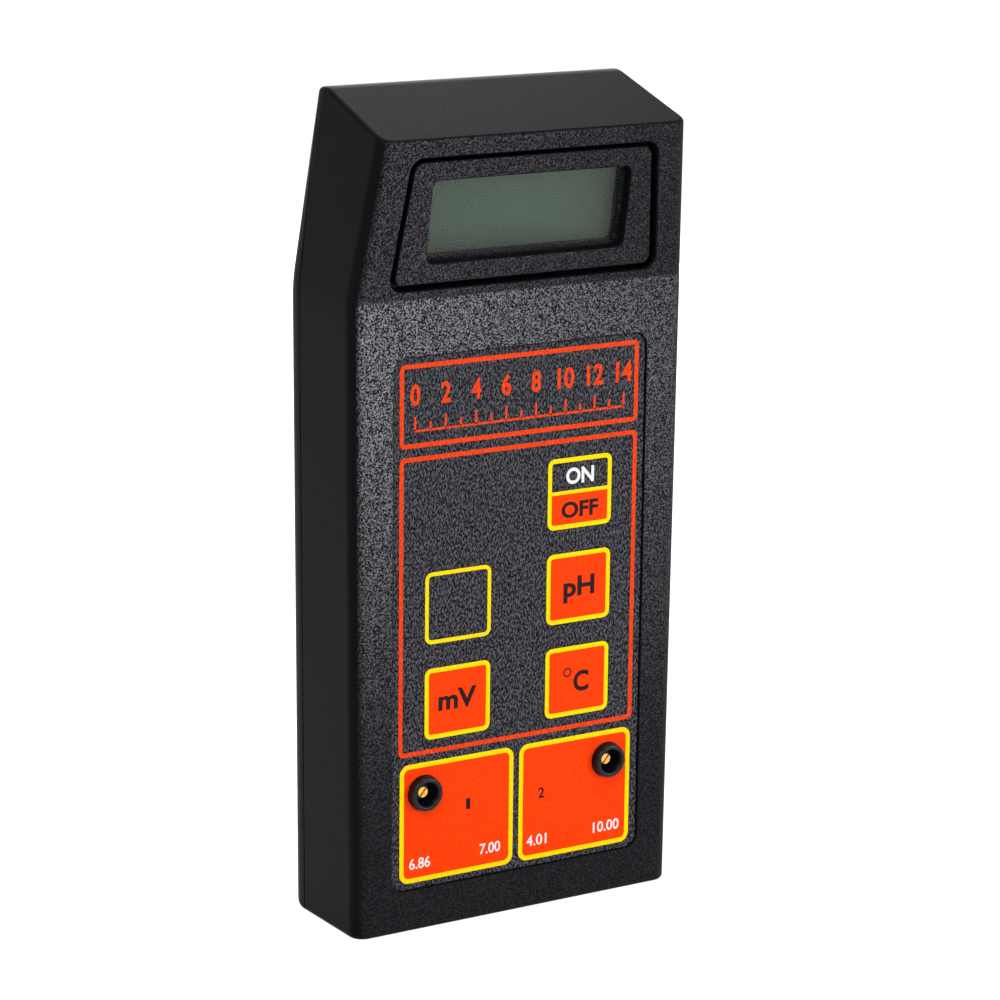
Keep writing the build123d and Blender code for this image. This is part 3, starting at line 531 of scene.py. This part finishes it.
# %% Lines, number scale and blank square
LINE = 1.0
STRIP = (59.2, 17.8, 114.6)
FIELD = (59.2, 64.9, 71.35)
FRAME_CORNER = 1.3
SCALE_END = 14
SCALE_STEP = 3.7
SCALE_BASE = 109.3
NUMERAL_HEIGHT = 4.6
NUMERAL_RISE = 7.6
ONE_DIGIT, TWO_DIGITS = 2.4, 4.2
TICK_LINE = 0.5
LONG_TICK, SHORT_TICK = 3.0, 1.8

for name, (width, height, middle) in (("strip_line", STRIP), ("field_line", FIELD)):
    keep(name, print_border(width, height, FRAME_CORNER, LINE), on_panel(0, middle), line_ink)

scale_x = [(number - SCALE_END / 2) * SCALE_STEP for number in range(SCALE_END + 1)]
bars = [(0, 0, SCALE_END * SCALE_STEP + TICK_LINE, TICK_LINE)]
for number, x in enumerate(scale_x):
    reach = LONG_TICK if number % 2 == 0 else SHORT_TICK
    bars.append((x, reach / 2, TICK_LINE, reach))
keep("number_scale", print_bars(bars), on_panel(0, SCALE_BASE), line_ink)
for number in range(0, SCALE_END + 1, 2):
    wide = TWO_DIGITS if number > 9 else ONE_DIGIT
    keep(f"scale_number_{number}", print_words(str(number), wide, NUMERAL_HEIGHT),
         on_panel(scale_x[number], SCALE_BASE + NUMERAL_RISE), line_ink)

# %% [markdown]
# Each key is outlined in yellow and filled with orange, and its print rides on the key, so that it
# goes in with it. The power key is split: its upper half is bare film for ON, its lower half orange
# for OFF. Legends lie over the fill. Each legend has its text, width, height, place across and up
# from the middle of its key, and ink, in mm. The divider lies a little higher than the line and
# the fill a little lower, so that no two prints lie in one plane.

# %% Key prints
KEY_SIZE = (16.2, 15.6)
KEY_CORNER = 1.6
KEY_LINE = 1.0
DIVIDER = 0.8
DIVIDER_RISE = 0.2
DIVIDER_LIFT = 0.003
FILL_SINK = 0.004
BLANK_LINE = 0.85
LEGEND_BASE = INK
legends = {
    "key_millivolt": [("mV", 9.4, 4.5, 0.0, 0.4, black_ink)],
    "key_ph": [("pH", 7.9, 5.8, 0.2, -0.5, black_ink)],
    "key_celsius": [("C", 3.9, 4.7, 1.1, -0.3, black_ink)],
    "key_power": [("ON", 7.1, 3.6, 0.0, 3.7, white_ink), ("OFF", 9.4, 3.6, 0.1, -3.7, black_ink)],
}
DEGREE = (-2.45, 2.0, 1.05, 0.3)


def fill_size(height):
    """The size of a fill that runs half under the yellow line."""
    return KEY_SIZE[0] - KEY_LINE, height


def centre_of(node):
    """The x and z of a node's middle, in mm."""
    low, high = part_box(node)
    return (low.x + high.x) / 2 / MM, (low.z + high.z) / 2 / MM


for key, words in legends.items():
    x, z = centre_of(key)
    keep(key + "_line", print_border(*KEY_SIZE, KEY_CORNER, KEY_LINE), on_panel(x, z), yellow_ink,
         key)
    if key == "key_power":
        fill = print_block(*fill_size(KEY_SIZE[1] / 2 - KEY_LINE / 2), KEY_CORNER / 4)
        fill_z = z - KEY_SIZE[1] / 4 + KEY_LINE / 4
        divider = print_bars([(0, DIVIDER_RISE, KEY_SIZE[0] - KEY_LINE, DIVIDER)])
        keep(key + "_divider", divider, on_panel(x, z, DIVIDER_LIFT), yellow_ink, key)
    else:
        fill = print_block(*fill_size(KEY_SIZE[1] - KEY_LINE), KEY_CORNER - KEY_LINE / 2)
        fill_z = z
    keep(key + "_fill", fill, on_panel(x, fill_z, -FILL_SINK), orange_ink, key)
    for text, width, height, across_x, up, ink in words:
        keep(f"{key}_{text.lower()}", print_words(text, width, height, base=LEGEND_BASE),
             on_panel(x + across_x, z + up), ink, key)

degree_x, degree_up, degree_radius, degree_line = DEGREE
ring = bmesh.new()
bmesh.ops.create_circle(ring, cap_ends=True, radius=degree_radius, segments=32)
hollow(ring, degree_line, INK + LEGEND_BASE)
x, z = centre_of("key_celsius")
keep("key_celsius_degree", ring, on_panel(x + degree_x, z + degree_up), black_ink,
     "key_celsius")

blank_x = centre_of("key_millivolt")[0]
blank_z = centre_of("key_ph")[1]
keep("blank_square", print_border(*KEY_SIZE, KEY_CORNER, BLANK_LINE), on_panel(blank_x, blank_z),
     yellow_ink)

# %% [markdown]
# Below the keys are two orange blocks, one for each calibration trimmer. A block is cut out round
# the trimmer's collar. Only plain numbers are printed on it: which trimmer comes first, and the
# values of the buffers that it is set with. Each block has its middle, its width and its numbers,
# and each number its text, width, height, place on the panel and ink.

# %% Calibration blocks
BLOCK_Z = 23.95
BLOCK_HEIGHT = 26.5
BLOCK_CORNER = 2.2
BLOCK_LINE = 1.05
COLLAR_HOLE = 3.95
NUMBER_WEIGHT = 0.015
blocks = {
    "left": (-15.02, 28.36, [
        ("1", 1.0, 2.4, -12.2, 26.2, black_ink),
        ("6.86", 5.2, 2.45, -24.2, 14.9, white_ink),
        ("7.00", 5.2, 2.45, -6.6, 15.3, white_ink)]),
    "right": (14.98, 28.71, [
        ("2", 1.5, 2.4, 6.4, 25.6, black_ink),
        ("4.01", 5.2, 2.45, 5.3, 15.0, white_ink),
        ("10.00", 6.8, 2.45, 23.4, 15.2, white_ink)]),
}
for side, (x, width, numbers) in blocks.items():
    screw_x, screw_z = centre_of(f"trimmer_screw_{side}")
    keep(f"calibration_line_{side}", print_border(width, BLOCK_HEIGHT, BLOCK_CORNER, BLOCK_LINE),
         on_panel(x, BLOCK_Z), yellow_ink)
    hole = (screw_x - x, screw_z - BLOCK_Z, COLLAR_HOLE)
    fill = print_block(width - BLOCK_LINE, BLOCK_HEIGHT - BLOCK_LINE,
                       BLOCK_CORNER - BLOCK_LINE / 2, hole)
    keep(f"calibration_fill_{side}", fill, on_panel(x, BLOCK_Z, -FILL_SINK), orange_ink)
    for text, wide, high, text_x, text_z, ink in numbers:
        printed = print_words(text, wide, high, NUMBER_WEIGHT, INK)
        keep(f"number_{text.replace('.', '_')}_{side}", printed, on_panel(text_x, text_z), ink)

# %% [markdown]
# The bezel is a plate in the tilted recess of the head, with a narrow moat round it and a window
# for the display. It follows the head's taper, and is drawn up to 1.1 mm larger than the CAD bezel,
# because the photograph's moat is narrower. Its corners and rims are rounded, so that a thin line
# of light runs along them. A plate with a window is filled between two outlines, made solid and
# then bevelled. Heights run up the slope from the crease.

# %% Display bezel
HEAD_LEAN = math.radians(9.3)
HEAD_TAPER = math.radians(6.2)
HEAD_HALF = 41.0
BEZEL_LOW = 2.9
BEZEL_HIGH = 29.1
BEZEL_SIDE_MARGIN = 9.1
BEZEL_CORNER = 2.2
BEZEL_SINK = 0.5
BEZEL_THICKNESS = 3.2
BEZEL_RIM = 0.45
WINDOW_CORNER = 1.6
WINDOW_PLAY = 0.1
PANE = 0.8
FLAT = 1e-4
RIM_TURN = 1.0

window_low, window_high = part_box("display_window")
head_up = Vector((0, -math.sin(HEAD_LEAN), math.cos(HEAD_LEAN)))
head_out = Vector((0, -math.cos(HEAD_LEAN), -math.sin(HEAD_LEAN)))
crease_point = Vector((0, -back_y, CREASE_HEIGHT * MM))
window_middle = ((window_low + window_high) / 2 - crease_point).dot(head_up) / MM
window_width = (window_high.x - window_low.x) / MM + WINDOW_PLAY
pane_lean = PANE * math.sin(HEAD_LEAN)
window_height = ((window_high.z - window_low.z) / MM - pane_lean) / math.cos(HEAD_LEAN) + WINDOW_PLAY

bm = bmesh.new()
outline = []
for height, order in ((BEZEL_LOW, (-1, 1)), (BEZEL_HIGH, (1, -1))):
    half = HEAD_HALF - height * math.cos(HEAD_LEAN) * math.tan(HEAD_TAPER) - BEZEL_SIDE_MARGIN
    outline += [bm.verts.new((side * half, height, 0)) for side in order]
bm.faces.new(outline)
bmesh.ops.bevel(bm, geom=outline, offset=BEZEL_CORNER, offset_type="OFFSET", affect="VERTICES",
                segments=CORNER_STEPS, profile=0.5, material=-1)
window = bmesh.new()
rounded(window, window_width, window_height, WINDOW_CORNER)
bmesh.ops.translate(window, vec=(0, window_middle, 0), verts=window.verts)
window_mesh = bpy.data.meshes.new("window_outline")
window.to_mesh(window_mesh)
window.free()
bm.from_mesh(window_mesh)
bpy.data.meshes.remove(window_mesh)
bmesh.ops.delete(bm, geom=bm.faces[:], context="FACES_ONLY")
bmesh.ops.triangle_fill(bm, use_beauty=True, edges=bm.edges[:], normal=(0, 0, 1))
bmesh.ops.recalc_face_normals(bm, faces=bm.faces)
bmesh.ops.solidify(bm, geom=bm.faces[:], thickness=BEZEL_THICKNESS)
top_height = max(v.co.z for v in bm.verts)
bmesh.ops.translate(bm, vec=(0, 0, -top_height), verts=bm.verts)
bmesh.ops.recalc_face_normals(bm, faces=bm.faces)
face_edges = [e for e in bm.edges if all(abs(v.co.z) < FLAT for v in e.verts)]
rims = [e for e in face_edges if e.calc_face_angle(0) > RIM_TURN]
bmesh.ops.bevel(bm, geom=rims, offset=BEZEL_RIM, offset_type="OFFSET", affect="EDGES", segments=4,
                profile=0.5, material=-1)
bezel_place = face_matrix(crease_point - head_out * BEZEL_SINK * MM, head_up, head_out)
bezel = keep("rounded_bezel", bm, bezel_place, finishes["bezel_plastic"])
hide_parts("display_bezel")
print("window", round(window_width, 2), "by", round(window_height, 2), "mm")

# %% [markdown]
# Each trimmer sits in a turned acetal collar. A collar is a profile spun round its axis, with its
# rims rounded by a bevel afterwards, so that they catch the light as the real ones do.

# %% Trimmer collars
SPIN_STEPS = 72
COLLAR_BORE = 2.65
COLLAR_RADIUS = 3.75
COLLAR_TOP = 2.0
COLLAR_PROFILE = [(COLLAR_BORE, -2.9), (3.2, -2.9), (3.2, -1.4), (COLLAR_RADIUS, -1.4),
                  (COLLAR_RADIUS, COLLAR_TOP), (COLLAR_BORE, COLLAR_TOP)]
OUTER_RIM = 0.5
INNER_RIM = 0.35


def spun(points, steps=SPIN_STEPS):
    """A closed profile of (radius, height) points, spun round the z axis."""
    bm = bmesh.new()
    ring = [bm.verts.new((radius, 0, height)) for radius, height in points]
    edges = [bm.edges.new((a, b)) for a, b in zip(ring, ring[1:] + ring[:1])]
    bmesh.ops.spin(bm, geom=ring + edges, cent=(0, 0, 0), axis=(0, 0, 1), angle=2 * math.pi, steps=steps,
                   use_merge=True)
    bmesh.ops.remove_doubles(bm, verts=bm.verts, dist=1e-4)
    bmesh.ops.recalc_face_normals(bm, faces=bm.faces)
    return bm


def round_rim(bm, radius, height, offset, steps=4):
    """Round the circular edge at a radius and a height."""
    rim = {v for v in bm.verts
           if abs(math.hypot(v.co.x, v.co.y) - radius) < 1e-3 and abs(v.co.z - height) < 1e-3}
    edges = [e for e in bm.edges if all(v in rim for v in e.verts)]
    bmesh.ops.bevel(bm, geom=edges, offset=offset, offset_type="OFFSET", affect="EDGES", segments=steps,
                    profile=0.5, material=-1)


for side in ("left", "right"):
    bm = spun(COLLAR_PROFILE)
    round_rim(bm, COLLAR_RADIUS, COLLAR_TOP, OUTER_RIM)
    round_rim(bm, COLLAR_BORE, COLLAR_TOP, INNER_RIM)
    collar = keep(f"trimmer_collar_{side}", bm, on_panel(*centre_of(f"trimmer_screw_{side}")),
                  finishes["bush_plastic"])
    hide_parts(f"trimmer_bush_{side}")

# %% [markdown]
# The two shells are held by four screws from behind. A real one has a rounded head with a cross
# recess, and a cutter in the shape of a cross takes that out with a Boolean. One screw is made and
# copied to the four places, each turned by an angle of its own, as screws are left when tightened.

# %% Case screws
SCREW_HEAD = 2.5
SCREW_HEAD_HEIGHT = 1.8
SCREW_HEAD_RIM = 0.15
SCREW_HEAD_BEVEL = 0.12
SCREW_RADIUS = 1.4
SCREW_REACH = 13.7
SCREW_POINT = 1.4
CROSS_LENGTH = 3.0
CROSS_WIDTH = 0.7
CROSS_DEPTH = 1.1
CROSS_OVERCUT = 1.2
CROSS_TAPER = 0.6


def solid_object(bm):
    """A short-lived object for a Boolean."""
    mesh = bpy.data.meshes.new("workpiece")
    bm.to_mesh(mesh)
    bm.free()
    piece = bpy.data.objects.new("workpiece", mesh)
    bpy.context.scene.collection.objects.link(piece)
    return piece


def carve(body_bm, cutter_bm):
    """The body less the cutter, as a new bmesh."""
    for bm in (body_bm, cutter_bm):
        bmesh.ops.remove_doubles(bm, verts=bm.verts, dist=1e-5)
        bmesh.ops.recalc_face_normals(bm, faces=bm.faces)
    body, cutter = solid_object(body_bm), solid_object(cutter_bm)
    cut = body.modifiers.new("cut", "BOOLEAN")
    cut.operation = "DIFFERENCE"
    cut.solver = "EXACT"
    cut.use_self = True
    cut.object = cutter
    result = bmesh.new()
    result.from_mesh(body.evaluated_get(bpy.context.evaluated_depsgraph_get()).to_mesh())
    for piece in (body, cutter):
        bpy.data.objects.remove(piece)
    return result


def cross_cutter():
    """Two crossed bars that narrow towards the bottom."""
    bm = bmesh.new()
    for wide, high in ((CROSS_LENGTH, CROSS_WIDTH), (CROSS_WIDTH, CROSS_LENGTH)):
        size = Matrix.Diagonal((wide, high, CROSS_DEPTH * CROSS_OVERCUT, 1))
        place = Matrix.Translation((0, 0, -CROSS_DEPTH / 2)) @ size
        bar = bmesh.ops.create_cube(bm, size=1.0, matrix=place)["verts"]
        bmesh.ops.scale(bm, vec=(CROSS_TAPER, CROSS_TAPER, 1),
                        verts=[v for v in bar if v.co.z < -CROSS_DEPTH / 2])
    return bm


def case_screw():
    """One screw, with the top of its head at height 0."""
    point = (SCREW_RADIUS * 0.6, -SCREW_REACH)
    shoulder = (SCREW_RADIUS, -SCREW_REACH + SCREW_POINT)
    screw = spun([(0.0, -SCREW_REACH), point, shoulder, (SCREW_RADIUS, -SCREW_HEAD_HEIGHT),
                  (SCREW_HEAD, -SCREW_HEAD_HEIGHT), (SCREW_HEAD, -SCREW_HEAD_RIM),
                  (SCREW_HEAD * 0.8, 0.0), (0.0, 0.0)], 48)
    round_rim(screw, SCREW_HEAD, -SCREW_HEAD_RIM, SCREW_HEAD_BEVEL, 3)
    return carve(screw, cross_cutter())


low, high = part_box("case_screws")
screws = bmesh.new()
one_screw = case_screw()
one_mesh = bpy.data.meshes.new("one_screw")
one_screw.to_mesh(one_mesh)
one_screw.free()
for x in (low.x / MM + SCREW_HEAD, high.x / MM - SCREW_HEAD):
    for z in (low.z / MM + SCREW_HEAD, high.z / MM - SCREW_HEAD):
        before = len(screws.verts)
        screws.from_mesh(one_mesh)
        screws.verts.ensure_lookup_table()
        turn = Matrix.Rotation(x + z, 4, "Z")
        bmesh.ops.transform(screws, matrix=Matrix.Translation((-x, z, 0)) @ turn,
                            verts=screws.verts[before:])
bpy.data.meshes.remove(one_mesh)
cross_screws = keep("cross_head_screws", screws, on_back(proud=(high.y - back_y) / MM),
                    finishes["black_screw_steel"])
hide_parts("case_screws")

# %% [markdown]
# The nut of the probe jack is knurled for fingers. Every other line of a spun ring is drawn in a
# little, which gives the ridges.

# %% Knurled nut
NUT_RADIUS = 4.2
NUT_BORE = 3.05
NUT_HEIGHT = 2.0
NUT_CHAMFER = 0.3
RIDGES = 40
RIDGE_DEPTH = 0.22

bm = spun([(NUT_BORE, 0.0), (NUT_RADIUS, 0.0), (NUT_RADIUS, NUT_HEIGHT - NUT_CHAMFER),
           (NUT_RADIUS - NUT_CHAMFER, NUT_HEIGHT), (NUT_BORE, NUT_HEIGHT)], 2 * RIDGES)
for v in bm.verts:
    radius = math.hypot(v.co.x, v.co.y)
    line_number = round(math.atan2(v.co.y, v.co.x) / (math.pi / RIDGES))
    if radius > NUT_RADIUS - 1e-3 and line_number % 2:
        v.co.xy *= 1 - RIDGE_DEPTH / radius
jack_low, jack_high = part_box("probe_jack_nut")
outwards = Vector((0, math.cos(BACK_LEAN), math.sin(BACK_LEAN)))
nut_centre = (jack_low + jack_high) / 2 - outwards * NUT_HEIGHT / 2 * MM
nut_place = face_matrix(nut_centre, (0, -math.sin(BACK_LEAN), math.cos(BACK_LEAN)), outwards)
nut = keep("knurled_nut", bm, nut_place, finishes["nickel"])
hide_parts("probe_jack_nut")

# %% [markdown]
# The battery door slides down, and a small raised arrow that points down says so. A foam strip
# keeps the battery from rattling. Both are simple shapes with rounded corners.

# %% Door arrow and foam strip
ARROW_RADIUS = 4.0
ARROW_HEIGHT = 0.5
ARROW_Z = 46.0
ARROW_CORNER = 0.6
FOAM_CORNER = 1.0
FOAM_RIM = 0.12

bm = bmesh.new()
bmesh.ops.create_circle(bm, cap_ends=True, radius=ARROW_RADIUS, segments=3,
                        matrix=Matrix.Rotation(math.radians(180), 4, "Z"))
bmesh.ops.bevel(bm, geom=bm.verts[:], offset=ARROW_CORNER, offset_type="OFFSET", affect="VERTICES",
                segments=4, profile=0.5, material=-1)
thicken(bm, ARROW_HEIGHT)
keep("door_arrow", bm, on_back(0, ARROW_Z), finishes["door_plastic"], "battery_door")

pad_low, pad_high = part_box("battery_pad")
pad_size = (pad_high - pad_low) / MM
bm = bmesh.new()
rounded(bm, pad_size.x, pad_size.z, FOAM_CORNER)
bmesh.ops.solidify(bm, geom=bm.faces[:], thickness=pad_size.y)
bmesh.ops.translate(bm, vec=(0, 0, -sum(v.co.z for v in bm.verts) / len(bm.verts)), verts=bm.verts)
rims = [e for e in bm.edges if abs(e.verts[0].co.z - e.verts[1].co.z) < 1e-6]
bmesh.ops.bevel(bm, geom=rims, offset=FOAM_RIM, offset_type="OFFSET", affect="EDGES", segments=2,
                profile=0.5, material=-1)
pad_place = face_matrix((pad_low + pad_high) / 2, (0, 0, 1), (0, 1, 0))
foam = keep("foam_strip", bm, pad_place, finishes["pad_foam"])
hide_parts("battery_pad")

# %% [markdown]
# The studio is a pale floor under a white sky. The camera, reflections and glass see the sky as
# plain white and the floor as glowing, while the light that falls on the meter is a softer one.

# %% Floor and sky
SKY_LIGHT = 0.4
FLOOR_GLOW = 0.7
FLOOR_SIZE = 4000.0
ROLLER_MARK = 3.0


def seen_directly(tree):
    """1 for rays of the camera, of reflections and of glass, and 0 for light on matt surfaces."""
    path = add(tree, "LightPath").outputs
    either = add(tree, "Math", {0: path["Is Camera Ray"], 1: path["Is Glossy Ray"]},
                 operation="MAXIMUM")
    return add(tree, "Math", {0: either, 1: path["Is Transmission Ray"]}, operation="MAXIMUM")


world = bpy.data.worlds.new("white_studio")
world.use_nodes = True
bpy.context.scene.world = world
background = world.node_tree.nodes["Background"]
background.inputs["Color"].default_value = (1, 1, 1, 1)
sky = world.node_tree
strength = add(sky, "MapRange", {"Value": seen_directly(sky), "To Min": SKY_LIGHT, "To Max": 1.0})
feed(sky, background, {"Strength": strength})

floor_paint, tree, shader, place = start_material("matt_white_floor_paint", 0.9, specular=0.1)
roller = add(tree, "TexNoise", {"Vector": place, "Scale": across(ROLLER_MARK), "Detail": 2.0})
glow = add(tree, "Math", {0: seen_directly(tree), 1: FLOOR_GLOW}, operation="MULTIPLY")
feed(tree, shader, {"Base Color": blend(tree, roller, "#E4E4E4", "#E8E8E8"),
                    "Emission Color": (1, 1, 1, 1), "Emission Strength": glow})

bm = bmesh.new()
bmesh.ops.create_grid(bm, x_segments=8, y_segments=8, size=FLOOR_SIZE * MM / 2)
floor_mesh = bpy.data.meshes.new("floor")
bm.to_mesh(floor_mesh)
bm.free()
floor_mesh.materials.append(floor_paint)
floor = bpy.data.objects.new("floor", floor_mesh)
bpy.context.scene.collection.objects.link(floor)
print("floor is", FLOOR_SIZE, "mm wide")

# %% [markdown]
# Four soft boxes shape the light: a large one from the upper left, a low one from the right that
# lights the keypad face from the side, one overhead for the top of the case, and one behind for its
# back. Each has its azimuth, elevation, distance, width and height in mm, and power in watts.

# %% Lamps
LAMP_AIM = Vector((0, 0, 90))
lamps = {
    "key_box": (-50, 38, 900, 500, 400, 4.0),
    "low_box": (36, 4, 700, 300, 160, 1.8),
    "top_box": (20, 75, 900, 500, 500, 2.4),
    "back_box": (155, 25, 900, 500, 500, 3.0),
}
for name, (azimuth, elevation, distance, width, height, power) in lamps.items():
    light = bpy.data.lights.new(name, "AREA")
    light.shape = "RECTANGLE"
    light.size = width * MM
    light.size_y = height * MM
    light.energy = power
    lamp = bpy.data.objects.new(name, light)
    a, e = math.radians(azimuth), math.radians(elevation)
    away = Vector((math.sin(a) * math.cos(e), -math.cos(a) * math.cos(e), math.sin(e)))
    facing = away.to_track_quat("Z", "Y").to_matrix().to_4x4()
    lamp.matrix_world = Matrix.Translation((LAMP_AIM + away * distance) * MM) @ facing
    lamp.visible_camera = False
    bpy.context.scene.collection.objects.link(lamp)
    print(name, power, "W at", distance, "mm")
